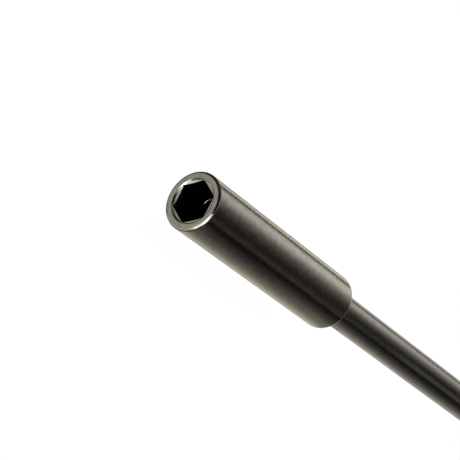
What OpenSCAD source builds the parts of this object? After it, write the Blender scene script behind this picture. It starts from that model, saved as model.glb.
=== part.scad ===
// A precision nut driver with a swivel cap, lying level on a bench.
// Its axis runs along X. The socket's mouth is at the origin and faces +X, and the handle lies towards -X.
// Each piece is drawn upright, with its distance from the mouth along Z, and then laid down.

/* [Socket] */
// Outside diameter of the socket barrel
socket_d = 8.6; // [8.2:0.1:11]
// Length of the socket barrel
socket_len = 37; // [30:0.5:60]
// Hexagon across its flats: a 5.5 mm nut with its clearance
hex_af = 5.55; // [4.5:0.05:5.8]
// Depth of the hexagon below the mouth
hex_depth = 5.2; // [3:0.1:10]
// How far the round lead-in at the mouth stands outside the hexagon's corners
lead_lip = 0.13; // [0.05:0.01:0.25]
// Depth of the lead-in's tapered wall
lead_depth = 0.2; // [0.15:0.05:1]
// Width of the ledge left between that wall and the middle of each flat
ledge_w = 0.3; // [0.1:0.05:0.35]
// Drop of the ledge from the lead-in's wall to the bolt clearance bore
ledge_drop = 0.1; // [0.05:0.05:0.4]
// How far the bolt clearance bore stands inside the hexagon's flats
bore_step = 0.075; // [0.05:0.025:0.5]
// Steel left between the bolt clearance bore and the shaft
socket_web = 3; // [2:0.5:6]
// Width of the chamfer round the front edge, across the face
front_chamfer = 0.36; // [0.1:0.01:0.45]
// Length of that chamfer along the barrel
front_chamfer_len = 0.17; // [0.1:0.01:0.45]
// Radius of the rear edge
rear_round = 0.5; // [0.2:0.1:1]

/* [Shaft] */
// Diameter of the shaft
shaft_d = 5.3; // [4:0.1:6]
// Length of shaft that shows between the socket and the handle
shaft_free_len = 67; // [20:1:150]
// Length of shaft brazed into the socket
shaft_in_socket = 12; // [8:0.5:20]
// Length of shaft behind the rear clamping screw
shaft_tail = 2; // [0.5:0.5:6]
// Chamfer at both ends of the shaft
shaft_chamfer = 0.5; // [0.2:0.1:1]
// Depth of the flat that the clamping screws bear on
flat_depth = 0.45; // [0.2:0.05:0.8]
// Length of flat in front of the front clamping screw
flat_lead = 1.5; // [0.5:0.5:4]

/* [Handle] */
// Width across the collar's flats and diameter of the flange: the tool lies level on these two
rest_d = 19; // [18.5:0.5:24]
// Length of the nose ferrule
ferrule_len = 8; // [6:0.5:14]
// Diameter of the nose ferrule at its wide end
ferrule_d = 13.5; // [12:0.1:16]
// Wall of the nose ferrule at its tip
ferrule_tip_wall = 1.5; // [0.8:0.1:2.5]
// Straight rim at the ferrule's wide end
ferrule_rim = 1.2; // [0.5:0.1:3]
// Length of the spigot that carries the ferrule
spigot_len = 4; // [2:0.5:5]
// Wall of that spigot round the shaft
spigot_wall = 1.9; // [1:0.1:2.2]
// Step from the spigot out to the collar's seat
seat_step = 1.4; // [0.5:0.1:2]
// Width of the collar along the axis
collar_w = 6.5; // [4:0.5:12]
// How far the collar's corners are turned down
corner_cut = 0.5; // [0.2:0.1:1]
// Chamfer on the collar's corners
collar_chamfer = 0.8; // [0.2:0.1:1.5]
// Diameter of the handle's core under the grip
core_d = 15; // [14.6:0.1:17]
// Length of the waist between the collar and the grip
waist_len = 18; // [16:1:40]
// Depth of the waist below the core
waist_depth = 1; // [0.3:0.1:1.5]
// Width of the flange behind the grip
flange_w = 9.5; // [7:0.5:15]
// Chamfer on the flange's edges
flange_chamfer = 0.6; // [0.2:0.1:1]

/* [Clamping screws] */
// Diameter of each clamping screw
grub_d = 4; // [3:0.5:5]
// Distance between the two clamping screws
grub_pitch = 7; // [5.5:0.5:10]
// How far each screw lies below the waist
grub_sink = 0.3; // [0.1:0.1:0.8]
// Key hexagon across its flats
grub_key_af = 2; // [1.5:0.1:2.2]
// Depth of the key hexagon
grub_key_depth = 1.6; // [0.8:0.1:2]

/* [Grip] */
// Width of the grip ring
ring_w = 4; // [2:0.5:8]
// Wall of the grip ring
ring_wall = 1.3; // [0.8:0.1:1.7]
// Width of the shallow groove turned round the grip ring
ring_groove_w = 1; // [0.4:0.1:1.6]
// Depth of that groove
ring_groove_depth = 0.35; // [0.1:0.05:0.6]
// Length of the grip sleeve
sleeve_len = 48; // [30:1:90]
// Wall of the grip sleeve
sleeve_wall = 1.7; // [1.2:0.1:1.9]
// Number of flutes round the sleeve
flute_n = 12; // [8:1:14]
// Radius of each flute
flute_r = 2; // [1.4:0.1:2.4]
// Depth of each flute
flute_depth = 0.7; // [0.3:0.1:0.9]
// Plain length left at each end of the flutes
flute_margin = 3; // [2:0.5:8]
// Chamfer at each end of the sleeve
sleeve_chamfer = 0.6; // [0.2:0.1:1]
// Width of the size band
band_w = 4; // [2:0.5:5]
// Depth of the groove that holds the size band
band_groove = 1.2; // [0.6:0.1:2]
// How far the size band lies below the flange's rim
band_sink = 0.15; // [0.05:0.05:0.4]

/* [Swivel cap] */
// Diameter of the swivel cap
cap_d = 18.4; // [17.4:0.1:23]
// Gap between the flange and the cap
cap_gap = 0.5; // [0.3:0.1:1]
// Wall of the cap in front of the circlip
cap_lip = 1.4; // [0.8:0.1:3]
// Radius of the cap's rear edge
cap_round = 2.2; // [1:0.1:2.6]
// Number of flutes round the cap
cap_flute_n = 24; // [12:1:30]
// Radius of each flute round the cap
cap_flute_r = 0.9; // [0.6:0.1:1]
// Depth of each flute round the cap
cap_flute_depth = 0.4; // [0.2:0.05:0.6]
// Plain length at the cap's front edge
cap_flute_lead = 1.6; // [1:0.1:3]
// Thickness of the cover disc
disc_t = 1.6; // [1:0.1:3]
// Width of the ledge that carries the cover disc
disc_ledge = 1.5; // [0.8:0.1:2]
// Depth of the dish turned into the cover disc
disc_dish = 0.4; // [0.2:0.1:0.8]
// Width of the cover disc's flat rim
disc_rim = 1.2; // [0.6:0.1:2]

/* [Bearing] */
// Outside diameter of the bearing
bearing_d = 13; // [12.6:0.1:13.6]
// Bore of the bearing
bearing_bore_d = 4; // [3.8:0.1:4.2]
// Width of the bearing
bearing_w = 5; // [4.8:0.1:7]
// Wall of both rings at their shoulders
ring_shoulder = 1.3; // [1:0.1:1.5]
// Diameter of each ball
ball_d = 2.4; // [2:0.1:2.6]
// Number of balls
ball_n = 7; // [5:1:8]
// Thickness of the cage
cage_t = 1; // [0.6:0.1:1.4]
// Rail of the cage beside the balls
cage_rail = 0.4; // [0.2:0.05:0.6]
// Thickness of the shields
shield_t = 0.3; // [0.2:0.05:0.4]
// How far the shields lie below the rings' faces
shield_sink = 0.2; // [0.1:0.05:0.3]
// How far the shields reach into the outer ring
shield_seat = 0.3; // [0.15:0.05:0.4]
// Gap between the shields and the inner ring
shield_gap = 0.2; // [0.1:0.05:0.4]

/* [Cap screw] */
// Length of the screw under its head
screw_len = 12; // [10:1:16]
// Diameter of the screw's head
head_d = 7.6; // [6.6:0.1:8]
// Height of the screw's head
head_h = 2.2; // [1.6:0.1:3]
// Key hexagon across its flats
key_af = 2.5; // [2:0.1:3]
// Depth of the key hexagon
key_depth = 1.3; // [0.8:0.1:1.5]
// Room between the screw's head and the cover disc
head_room = 1.2; // [0.5:0.1:3]
// Room between the screw's head and the cap around it
head_side_room = 0.9; // [0.4:0.1:1]
// Thickness of the washer
washer_t = 0.5; // [0.3:0.1:1]
// Width of the washer's ring
washer_ring = 1.2; // [0.8:0.1:1.3]

/* [Circlip] */
// Thickness of the circlip
clip_t = 1; // [0.6:0.1:1.4]
// How far the circlip reaches into its groove in the cap
clip_seat = 0.5; // [0.3:0.1:0.8]
// How far the circlip stands inside the bearing's outside diameter
clip_reach = 0.8; // [0.5:0.1:1]
// Radius of the circlip's two lugs
lug_r = 0.9; // [0.7:0.1:1.1]
// Radius of the hole in each lug
lug_hole_r = 0.45; // [0.3:0.05:0.5]
// Angle of the circlip's open gap
clip_gap_angle = 50; // [40:5:70]

/* [Hidden] */
$fn = 96;
// Radial clearance of a piece slid or pressed onto its seat
slip = 0.02;
// Radial clearance of the braze between the shaft and the socket
braze = 0.05;
// Clearance round each ball in its races and its pocket
ball_play = 0.04;
// Room left at the bottom of a blind hole
hole_spare = 0.5;
// Small turned chamfer on the bearing's rings and the spigot
small_chamfer = 0.25;
// How far a cut runs past the face that it opens
over = 1;
// Half of a drill's point angle
drill_half_angle = 59;

// Radii
socket_r = socket_d / 2;
shaft_r = shaft_d / 2;
hex_r = hex_af / 2 / cos(30);
bolt_bore_r = hex_af / 2 - bore_step;
spigot_r = shaft_r + slip + spigot_wall;
seat_r = spigot_r + seat_step;
core_r = core_d / 2;
rest_r = rest_d / 2;
collar_hex_r = rest_r / cos(30);
collar_corner_r = collar_hex_r - corner_cut;
ring_r = core_r + ring_wall;
sleeve_r = core_r + sleeve_wall;
band_groove_r = rest_r - band_groove;
flat_r = shaft_r - flat_depth;
waist_r = core_r - waist_depth;
bearing_r = bearing_d / 2;
bearing_bore_r = bearing_bore_d / 2;
ball_r = ball_d / 2;
pitch_r = (bearing_r + bearing_bore_r) / 2;
inner_land_r = bearing_bore_r + ring_shoulder;
outer_land_r = bearing_r - ring_shoulder;
boss_r = inner_land_r - small_chamfer;
cap_r = cap_d / 2;
screw_r = bearing_bore_r - slip;
head_r = head_d / 2;
head_bore_r = head_r + head_side_room;
disc_r = head_bore_r + disc_ledge;

// Distances from the mouth
bolt_bore_end = socket_len - shaft_in_socket - socket_web;
shaft_front = socket_len - shaft_in_socket;
nose_at = socket_len + shaft_free_len;
collar_at = nose_at + ferrule_len;
spigot_at = collar_at - spigot_len;
waist_at = collar_at + collar_w;
waist_mid = waist_at + waist_len / 2;
ring_at = waist_at + waist_len;
sleeve_at = ring_at + ring_w;
flange_at = sleeve_at + sleeve_len;
flange_end = flange_at + flange_w;
band_at = flange_at + (flange_w - band_w) / 2;
grub_places = [waist_mid - grub_pitch / 2, waist_mid + grub_pitch / 2];
flat_at = grub_places[0] - grub_d / 2 - flat_lead;
shaft_end = grub_places[1] + grub_d / 2 + shaft_tail;
cap_at = flange_end + cap_gap;
clip_at = cap_at + cap_lip;
bearing_at = clip_at + clip_t + slip;
bearing_mid = bearing_at + bearing_w / 2;
bearing_end = bearing_at + bearing_w;
head_at = bearing_end + washer_t;
disc_at = head_at + head_h + head_room;
cap_end = disc_at + disc_t;
screw_tip = head_at - screw_len;

// The waist is an arc that crosses the core's surface at both ends of the waist
waist_arc_r = (pow(waist_len / 2, 2) + pow(waist_depth, 2)) / (2 * waist_depth);
// Radius of the waist where the clamping screws sit
grub_waist_r = waist_r + waist_arc_r - sqrt(pow(waist_arc_r, 2) - pow(grub_pitch / 2, 2));
grub_top = grub_waist_r - grub_sink;
grub_len = grub_top - flat_r;
cage_w = ball_d + 2 * (ball_play + cage_rail);
// Sphere that rounds the screw's head down to a flat of the key's size
head_flat_r = key_af / 2 / cos(30) + small_chamfer;
head_dome_drop = (pow(head_h, 2) + pow(head_r, 2) - pow(head_flat_r, 2)) / (2 * head_h);
head_dome_r = sqrt(pow(head_dome_drop, 2) + pow(head_flat_r, 2));

// Lays an upright piece down: its Z becomes -X, and its X becomes +Z
module lie_down() {
    rotate([0, -90, 0])
        children();
}

// A turned ring between two radii, from one distance to another
module tube(inner_r, outer_r, from, to) {
    translate([0, 0, from])
        difference() {
            cylinder(r = outer_r, h = to - from);
            translate([0, 0, -over])
                cylinder(r = inner_r, h = to - from + 2 * over);
        }
}

// A round hole along the axis, from one distance to another
module hole(r, from, to) {
    translate([0, 0, from])
        cylinder(r = r, h = to - from);
}

// A turned solid from its outline, given as [radius, distance from the mouth]
module turned(outline) {
    rotate_extrude()
        polygon(outline);
}

// A hexagon hole or prism along the axis, with a corner pointing up
module hexagon(corner_r, from, to) {
    translate([0, 0, from])
        cylinder(r = corner_r, h = to - from, $fn = 6);
}

// Outline of a plain rod with a chamfer at both ends
function rod_outline(r, from, to, chamfer) = [
    [0, from],
    [r - chamfer, from],
    [r, from + chamfer],
    [r, to - chamfer],
    [r - chamfer, to],
    [0, to],
];

// Quarter arc from the side of a rod round to its end face
function rear_arc(r, end, round, steps) = [
    for (i = [0 : steps])
        [r - round + round * cos(90 * i / steps), end - round + round * sin(90 * i / steps)]
];

// Places children at each clamping screw, pointing up out of the waist
module at_grubs() {
    for (place = grub_places)
        translate([0, 0, place])
            rotate([0, 90, 0])
                children();
}

module socket_blank() {
    turned(concat(
        [[0, 0], [socket_r - front_chamfer, 0], [socket_r, front_chamfer_len]],
        rear_arc(socket_r, socket_len, rear_round, 6),
        [[0, socket_len]]
    ));
}

// Round lead-in at the mouth: a tapered wall, and a ledge that slopes down to the hexagon's flats
module mouth_lead_in() {
    turned([
        [0, -over],
        [hex_r + lead_lip, -over],
        [hex_r + lead_lip, 0],
        [hex_af / 2 + ledge_w, lead_depth],
        [bolt_bore_r, lead_depth + ledge_drop],
        [0, lead_depth + ledge_drop],
    ]);
}

// Drilled bore for the bolt's end, with the cone of the drill's point
module bolt_bore() {
    turned([
        [0, 0],
        [bolt_bore_r, 0],
        [bolt_bore_r, bolt_bore_end],
        [0, bolt_bore_end + bolt_bore_r / tan(drill_half_angle)],
    ]);
}

module socket() {
    color("#35352f")
        lie_down()
            difference() {
                socket_blank();
                mouth_lead_in();
                hexagon(hex_r, 0, hex_depth);
                bolt_bore();
                hole(shaft_r + braze, shaft_front, socket_len + over);
            }
}

module shaft() {
    color("#3a3a33")
        lie_down()
            difference() {
                turned(rod_outline(shaft_r, shaft_front, shaft_end, shaft_chamfer));
                translate([flat_r, -shaft_d, flat_at])
                    cube([shaft_d, 2 * shaft_d, shaft_end - flat_at + over]);
            }
}

module nose_ferrule() {
    tip_r = shaft_r + slip + ferrule_tip_wall;
    color("#5c5d5f")
        lie_down()
            difference() {
                turned([
                    [0, nose_at],
                    [tip_r - small_chamfer, nose_at],
                    [tip_r, nose_at + small_chamfer],
                    [ferrule_d / 2, collar_at - ferrule_rim],
                    [ferrule_d / 2, collar_at],
                    [0, collar_at],
                ]);
                hole(shaft_r + slip, nose_at - over, collar_at + over);
                hole(spigot_r + slip, spigot_at, collar_at + over);
            }
}

module anti_roll_collar() {
    color("#232324")
        lie_down()
            difference() {
                intersection() {
                    rotate([0, 0, 30])
                        hexagon(collar_hex_r, collar_at, waist_at);
                    turned(rod_outline(collar_corner_r, collar_at, waist_at, collar_chamfer));
                }
                hole(seat_r + slip, collar_at - over, waist_at + over);
            }
}

// Outside of the handle's core: spigot, collar seat, waist and grip seat, flange and bearing boss
module core_blank() {
    turned([
        [0, spigot_at],
        [spigot_r - small_chamfer, spigot_at],
        [spigot_r, spigot_at + small_chamfer],
        [spigot_r, collar_at],
        [seat_r, collar_at],
        [seat_r, waist_at],
        [core_r, waist_at],
        [core_r, flange_at],
        [rest_r - flange_chamfer, flange_at],
        [rest_r, flange_at + flange_chamfer],
        [rest_r, band_at],
        [band_groove_r, band_at],
        [band_groove_r, band_at + band_w],
        [rest_r, band_at + band_w],
        [rest_r, flange_end - flange_chamfer],
        [rest_r - flange_chamfer, flange_end],
        [boss_r, flange_end],
        [boss_r, bearing_at],
        [0, bearing_at],
    ]);
}

module handle_body() {
    color("#2b2c2f")
        lie_down()
            difference() {
                core_blank();
                rotate_extrude()
                    translate([waist_r + waist_arc_r, waist_mid])
                        circle(r = waist_arc_r);
                hole(shaft_r + slip, spigot_at - over, shaft_end + hole_spare);
                hole(screw_r + slip, screw_tip - hole_spare, bearing_at + over);
                at_grubs()
                    cylinder(r = grub_d / 2 + slip, h = core_r);
            }
}

module grub_screws() {
    color("#1f1f20")
        lie_down()
            at_grubs()
                translate([0, 0, flat_r])
                    difference() {
                        turned(rod_outline(grub_d / 2, 0, grub_len, small_chamfer));
                        translate([0, 0, grub_len - grub_key_depth])
                            cylinder(r = grub_key_af / 2 / cos(30), h = grub_key_depth + over, $fn = 6);
                    }
}

module grip_ring() {
    groove_at = ring_at + (ring_w - ring_groove_w) / 2;
    color("#b9babc")
        lie_down()
            difference() {
                turned(rod_outline(ring_r, ring_at, sleeve_at, small_chamfer));
                hole(core_r + slip, ring_at - over, sleeve_at + over);
                tube(ring_r - ring_groove_depth, ring_r + over, groove_at, groove_at + ring_groove_w);
            }
}

// One flute along the sleeve, with round ends
module sleeve_flute() {
    from = sleeve_at + flute_margin + flute_r;
    to = flange_at - flute_margin - flute_r;
    translate([sleeve_r + flute_r - flute_depth, 0, 0]) {
        hole(flute_r, from, to);
        translate([0, 0, from])
            sphere(r = flute_r);
        translate([0, 0, to])
            sphere(r = flute_r);
    }
}

module grip_sleeve() {
    color("#29292a")
        lie_down()
            difference() {
                turned(rod_outline(sleeve_r, sleeve_at, flange_at, sleeve_chamfer));
                hole(core_r + slip, sleeve_at - over, flange_at + over);
                for (i = [0 : flute_n - 1])
                    rotate([0, 0, 360 * (i + 0.5) / flute_n])
                        sleeve_flute();
            }
}

module size_band() {
    color("#b06a2c")
        lie_down()
            tube(band_groove_r + slip, rest_r - band_sink, band_at + slip, band_at + band_w - slip);
}

// Outside of the swivel cap, with its rounded rear edge
module cap_blank() {
    turned(concat(
        [[0, cap_at], [cap_r - small_chamfer, cap_at], [cap_r, cap_at + small_chamfer]],
        rear_arc(cap_r, cap_end, cap_round, 8),
        [[0, cap_end]]
    ));
}

// One flute along the cap's side, with round ends
module cap_flute() {
    from = cap_at + cap_flute_lead + cap_flute_r;
    to = cap_end - cap_round - cap_flute_r;
    translate([cap_r + cap_flute_r - cap_flute_depth, 0, 0]) {
        hole(cap_flute_r, from, to);
        translate([0, 0, from])
            sphere(r = cap_flute_r);
        translate([0, 0, to])
            sphere(r = cap_flute_r);
    }
}

module swivel_cap() {
    color("#35363a")
        lie_down()
            difference() {
                cap_blank();
                hole(bearing_r + slip, cap_at - over, bearing_end);
                hole(bearing_r + slip + clip_seat, clip_at - slip, clip_at + clip_t + slip);
                hole(head_bore_r, cap_at - over, cap_end + over);
                hole(disc_r + slip, disc_at, cap_end + over);
                for (i = [0 : cap_flute_n - 1])
                    rotate([0, 0, 360 * i / cap_flute_n])
                        cap_flute();
            }
}

module cap_disc() {
    color("#b9babc")
        lie_down()
            difference() {
                hole(disc_r, disc_at, cap_end);
                turned([
                    [0, cap_end - disc_dish],
                    [disc_r - disc_rim - disc_dish, cap_end - disc_dish],
                    [disc_r - disc_rim, cap_end],
                    [disc_r - disc_rim, cap_end + over],
                    [0, cap_end + over],
                ]);
            }
}

// Groove that the balls run in
module race() {
    rotate_extrude()
        translate([pitch_r, bearing_mid])
            circle(r = ball_r + ball_play);
}

module bearing_outer_ring() {
    seat = shield_sink + shield_t;
    color("#c4c5c6")
        lie_down()
            difference() {
                turned(rod_outline(bearing_r, bearing_at, bearing_end, small_chamfer));
                hole(outer_land_r, bearing_at - over, bearing_end + over);
                hole(outer_land_r + shield_seat, bearing_at - over, bearing_at + seat);
                hole(outer_land_r + shield_seat, bearing_end - seat, bearing_end + over);
                race();
            }
}

module bearing_inner_ring() {
    color("#c4c5c6")
        lie_down()
            difference() {
                turned(rod_outline(inner_land_r, bearing_at, bearing_end, small_chamfer));
                hole(bearing_bore_r, bearing_at - over, bearing_end + over);
                race();
            }
}

// Places children at the centre of each ball
module at_balls() {
    for (i = [0 : ball_n - 1])
        rotate([0, 0, 360 * i / ball_n])
            translate([pitch_r, 0, bearing_mid])
                children();
}

module bearing_balls() {
    color("#d6d7d8")
        lie_down()
            at_balls()
                sphere(r = ball_r);
}

module bearing_cage() {
    color("#9c8a57")
        lie_down()
            difference() {
                tube(pitch_r - cage_t / 2, pitch_r + cage_t / 2, bearing_mid - cage_w / 2,
                    bearing_mid + cage_w / 2);
                at_balls()
                    rotate([0, 90, 0])
                        cylinder(r = ball_r + ball_play, h = ball_d, center = true);
            }
}

// One pressed shield, from the side that faces the balls
module shield(from) {
    color("#a9aaab")
        lie_down()
            tube(inner_land_r + shield_gap, outer_land_r + shield_seat - slip, from, from + shield_t);
}

module bearing_front_shield() {
    shield(bearing_at + shield_sink);
}

module bearing_rear_shield() {
    shield(bearing_end - shield_sink - shield_t);
}

// A lug of the circlip with its hole, on one side of the gap
module clip_lug(angle) {
    rotate([0, 0, angle])
        translate([bearing_r - clip_reach, 0, clip_at])
            cylinder(r = lug_r, h = clip_t);
}

module clip_lug_hole(angle) {
    rotate([0, 0, angle])
        translate([bearing_r - clip_reach, 0, clip_at - over])
            cylinder(r = lug_hole_r, h = clip_t + 2 * over);
}

module bearing_circlip() {
    half = clip_gap_angle / 2;
    reach = 2 * bearing_d;
    color("#6d6e70")
        lie_down()
            difference() {
                union() {
                    difference() {
                        tube(bearing_r - clip_reach, bearing_r + clip_seat, clip_at, clip_at + clip_t);
                        translate([0, 0, clip_at - over])
                            linear_extrude(clip_t + 2 * over)
                                polygon([
                                    [0, 0],
                                    [reach * cos(half), -reach * sin(half)],
                                    [reach * cos(half), reach * sin(half)],
                                ]);
                    }
                    clip_lug(half);
                    clip_lug(-half);
                }
                clip_lug_hole(half);
                clip_lug_hole(-half);
            }
}

module cap_screw() {
    color("#1f1f20")
        lie_down()
            difference() {
                union() {
                    turned(rod_outline(screw_r, screw_tip, head_at + small_chamfer, small_chamfer));
                    intersection() {
                        hole(head_r, head_at, head_at + head_h);
                        translate([0, 0, head_at + head_h - head_dome_drop])
                            sphere(r = head_dome_r);
                    }
                }
                hexagon(key_af / 2 / cos(30), head_at + head_h - key_depth, head_at + head_h + over);
            }
}

module screw_washer() {
    color("#c4c5c6")
        lie_down()
            tube(bearing_bore_r, bearing_bore_r + washer_ring, bearing_end, head_at);
}

socket();
shaft();
nose_ferrule();
anti_roll_collar();
handle_body();
grub_screws();
grip_ring();
grip_sleeve();
size_band();
swivel_cap();
cap_disc();
bearing_outer_ring();
bearing_inner_ring();
bearing_balls();
bearing_cage();
bearing_front_shield();
bearing_rear_shield();
bearing_circlip();
cap_screw();
screw_washer();
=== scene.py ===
"""Looks of a nut driver that lies on a pale bench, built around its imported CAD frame."""
import math

import bpy
import numpy as np
from mathutils import Matrix, Vector


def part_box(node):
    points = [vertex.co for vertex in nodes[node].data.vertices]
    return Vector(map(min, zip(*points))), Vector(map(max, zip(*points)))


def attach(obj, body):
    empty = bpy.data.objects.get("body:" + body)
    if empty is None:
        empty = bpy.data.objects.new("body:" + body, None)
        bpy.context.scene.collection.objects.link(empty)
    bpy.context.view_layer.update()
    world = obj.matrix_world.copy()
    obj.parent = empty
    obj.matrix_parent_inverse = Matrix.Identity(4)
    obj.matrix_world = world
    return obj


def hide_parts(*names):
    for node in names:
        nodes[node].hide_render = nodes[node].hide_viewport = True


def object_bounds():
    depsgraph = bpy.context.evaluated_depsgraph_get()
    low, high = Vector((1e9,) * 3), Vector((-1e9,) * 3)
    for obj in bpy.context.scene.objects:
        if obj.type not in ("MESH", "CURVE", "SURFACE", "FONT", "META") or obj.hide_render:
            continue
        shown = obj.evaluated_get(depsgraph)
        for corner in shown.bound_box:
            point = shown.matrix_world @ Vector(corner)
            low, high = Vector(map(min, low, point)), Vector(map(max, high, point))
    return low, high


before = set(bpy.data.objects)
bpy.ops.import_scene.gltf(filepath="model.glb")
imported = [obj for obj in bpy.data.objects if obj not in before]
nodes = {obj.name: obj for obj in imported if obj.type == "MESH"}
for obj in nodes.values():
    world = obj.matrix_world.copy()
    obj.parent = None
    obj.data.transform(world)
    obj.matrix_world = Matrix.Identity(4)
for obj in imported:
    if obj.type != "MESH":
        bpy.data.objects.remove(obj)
cad_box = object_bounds()
scene = bpy.context.scene
scene.view_settings.view_transform = "Standard"

# The view: a camera in front of the socket's mouth, above it and off to one side, rolled so that the tool
# runs away to the lower right. Its angles were measured on the mouth's ellipse and the barrel's two edges.
mm = 0.001
image_px = 460
focal_px = 1837.6
sensor_mm = 36.0
mouth_px = np.array([192.45, 200.69])
mouth_distance = 240.9 * mm
slant = math.radians(36.78)
tilt = math.radians(40.24)
hex_turn = math.radians(47.6)

away = np.array([math.sin(tilt) * math.cos(slant), math.sin(tilt) * math.sin(slant), math.cos(tilt)])
side = np.array([math.sin(slant), -math.cos(slant), 0.0])
rise = np.cross(away, side)
bench_axes = np.array([
    -away,
    math.cos(hex_turn) * rise - math.sin(hex_turn) * side,
    math.cos(hex_turn) * side + math.sin(hex_turn) * rise,
])
right, down, ahead = bench_axes.T
mouth_in_view = mouth_distance * np.append((mouth_px - image_px / 2) / focal_px, 1.0)
eye = -bench_axes @ mouth_in_view

lens = bpy.data.cameras.new("view")
lens.sensor_width = sensor_mm
lens.lens = sensor_mm * focal_px / image_px
camera = bpy.data.objects.new("view", lens)
placing = np.vstack([np.column_stack([right, -down, -ahead, eye]), [0, 0, 0, 1]])
camera.matrix_world = Matrix(placing.tolist())
scene.collection.objects.link(camera)
scene.camera = camera


# The bench: white paper that runs out to pale walls under a dim ceiling, with soft windows round about.
# To the camera and in reflections the paper is white, and a small diffuse share keeps the tool's faint
# shadow on it.
def linear(hex_text):
    """Linear colour of an sRGB hex value: a straight part near black and a power of 2.4 above it."""
    srgb = np.array([int(hex_text[i:i + 2], 16) for i in (1, 3, 5)]) / 255
    rgb = np.where(srgb <= 0.04045, srgb / 12.92, ((srgb + 0.055) / 1.055) ** 2.4)
    return (*rgb.tolist(), 1.0)


def add_node(tree, kind, inputs=(), **settings):
    """Adds one node with its settings. Each input is a value, or another node's output to link from."""
    made = tree.nodes.new(kind)
    for name, value in settings.items():
        setattr(made, name, value)
    for socket, value in dict(inputs).items():
        if isinstance(value, bpy.types.NodeSocket):
            tree.links.new(value, made.inputs[socket])
        else:
            made.inputs[socket].default_value = value
    return made


paper_half = 4.0
paper_share = 0.975
wall_top = math.sin(math.radians(5))
ceiling_foot = math.sin(math.radians(10))
ceiling_light = 0.12

paper_mesh = bpy.data.meshes.new("paper")
paper_signs = [(-1, -1), (1, -1), (1, 1), (-1, 1)]
paper_corners = [(paper_half * x, paper_half * y, cad_box[0].z) for x, y in paper_signs]
paper_mesh.from_pydata(paper_corners, [], [(0, 1, 2, 3)])
paper = bpy.data.objects.new("paper", paper_mesh)
scene.collection.objects.link(paper)

white_paper = bpy.data.materials.new("white_paper")
white_paper.use_nodes = True
tree = white_paper.node_tree
tree.nodes.clear()
path = add_node(tree, "ShaderNodeLightPath").outputs
seen = path["Is Camera Ray"]
for ray in ("Is Glossy Ray", "Is Transmission Ray"):
    seen = add_node(tree, "ShaderNodeMath", {0: seen, 1: path[ray]}, operation="MAXIMUM").outputs[0]
share = add_node(tree, "ShaderNodeMath", {0: seen, 1: paper_share}, operation="MULTIPLY")
matt = add_node(tree, "ShaderNodeBsdfDiffuse", {"Color": linear("#f4f4f2")})
glow = add_node(tree, "ShaderNodeEmission", {"Color": linear("#ffffff"), "Strength": 1.0})
sheet = add_node(tree, "ShaderNodeMixShader", {0: share.outputs[0], 1: matt.outputs[0], 2: glow.outputs[0]})
add_node(tree, "ShaderNodeOutputMaterial", {"Surface": sheet.outputs[0]})
paper_mesh.materials.append(white_paper)

# Each window has the way to it, its strength, how narrow it is, and its tint. The first two are one window
# with a cold middle and a warm edge, which the blade mirrors as its long highlight. The third makes a paler
# line on the blade, the fourth is soft light overhead, and the last two light the sides of other views.
windows = (
    ((-0.769, -0.436, 0.468), 3.1, 40.0, "#c8d3ff"),
    ((-0.769, -0.436, 0.468), 2.8, 12.0, "#fffaf2"),
    ((-0.769, 0.524, 0.367), 0.6, 100.0, "#fff6f8"),
    ((0.0, 0.0, 1.0), 2.0, 6.0, "#ffffff"),
    ((0.45, 0.75, 0.48), 3.5, 8.0, "#ffffff"),
    ((0.3, -0.8, 0.52), 3.5, 16.0, "#ffffff"))

room = bpy.data.worlds.new("pale_walls_dim_ceiling")
room.use_nodes = True
scene.world = room
tree = room.node_tree
tree.nodes.clear()
look = add_node(tree, "ShaderNodeTexCoord").outputs["Generated"]
height = add_node(tree, "ShaderNodeSeparateXYZ", {0: look})
fade = add_node(tree, "ShaderNodeMapRange", {
    "Value": height.outputs["Z"], "From Min": wall_top, "From Max": ceiling_foot, "To Min": 1.0,
    "To Max": ceiling_light}, interpolation_type="SMOOTHSTEP")
walls = add_node(tree, "ShaderNodeBackground", {"Color": linear("#fffeff"), "Strength": fade.outputs[0]})
for way, strength, focus, tint in windows:
    facing = add_node(tree, "ShaderNodeVectorMath", {0: look, 1: way}, operation="DOT_PRODUCT")
    facing = add_node(tree, "ShaderNodeMath", {0: facing.outputs["Value"], 1: 0.0}, operation="MAXIMUM")
    glow = add_node(tree, "ShaderNodeMath", {0: facing.outputs[0], 1: focus}, operation="POWER")
    glow = add_node(tree, "ShaderNodeMath", {0: glow.outputs[0], 1: strength}, operation="MULTIPLY")
    window = add_node(tree, "ShaderNodeBackground", {"Color": linear(tint), "Strength": glow.outputs[0]})
    walls = add_node(tree, "ShaderNodeAddShader", {0: walls.outputs[0], 1: window.outputs[0]})
add_node(tree, "ShaderNodeOutputWorld", {"Surface": walls.outputs[0]})


# The lamps: a large soft box overhead, and a small lit panel that stands on the paper before the mouth and
# makes the glint on its edge. Cards round the tool draw the blade's bright and dark bands, and only
# reflections see them. Places and sizes in this section are in metres.
def hang_lamp(name, place, aim, width, length, radiance, tint):
    """A soft box of that radiance: an area lamp's power is four times its radiance times its area."""
    lamp = bpy.data.lights.new(name, "AREA")
    lamp.shape = "RECTANGLE"
    lamp.size = width
    lamp.size_y = length
    lamp.energy = 4 * radiance * width * length
    lamp.color = linear(tint)[:3]
    panel = bpy.data.objects.new(name, lamp)
    panel.location = place
    panel.rotation_euler = (Vector(aim) - Vector(place)).to_track_quat("-Z", "Y").to_euler()
    panel.visible_camera = False
    scene.collection.objects.link(panel)


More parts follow.
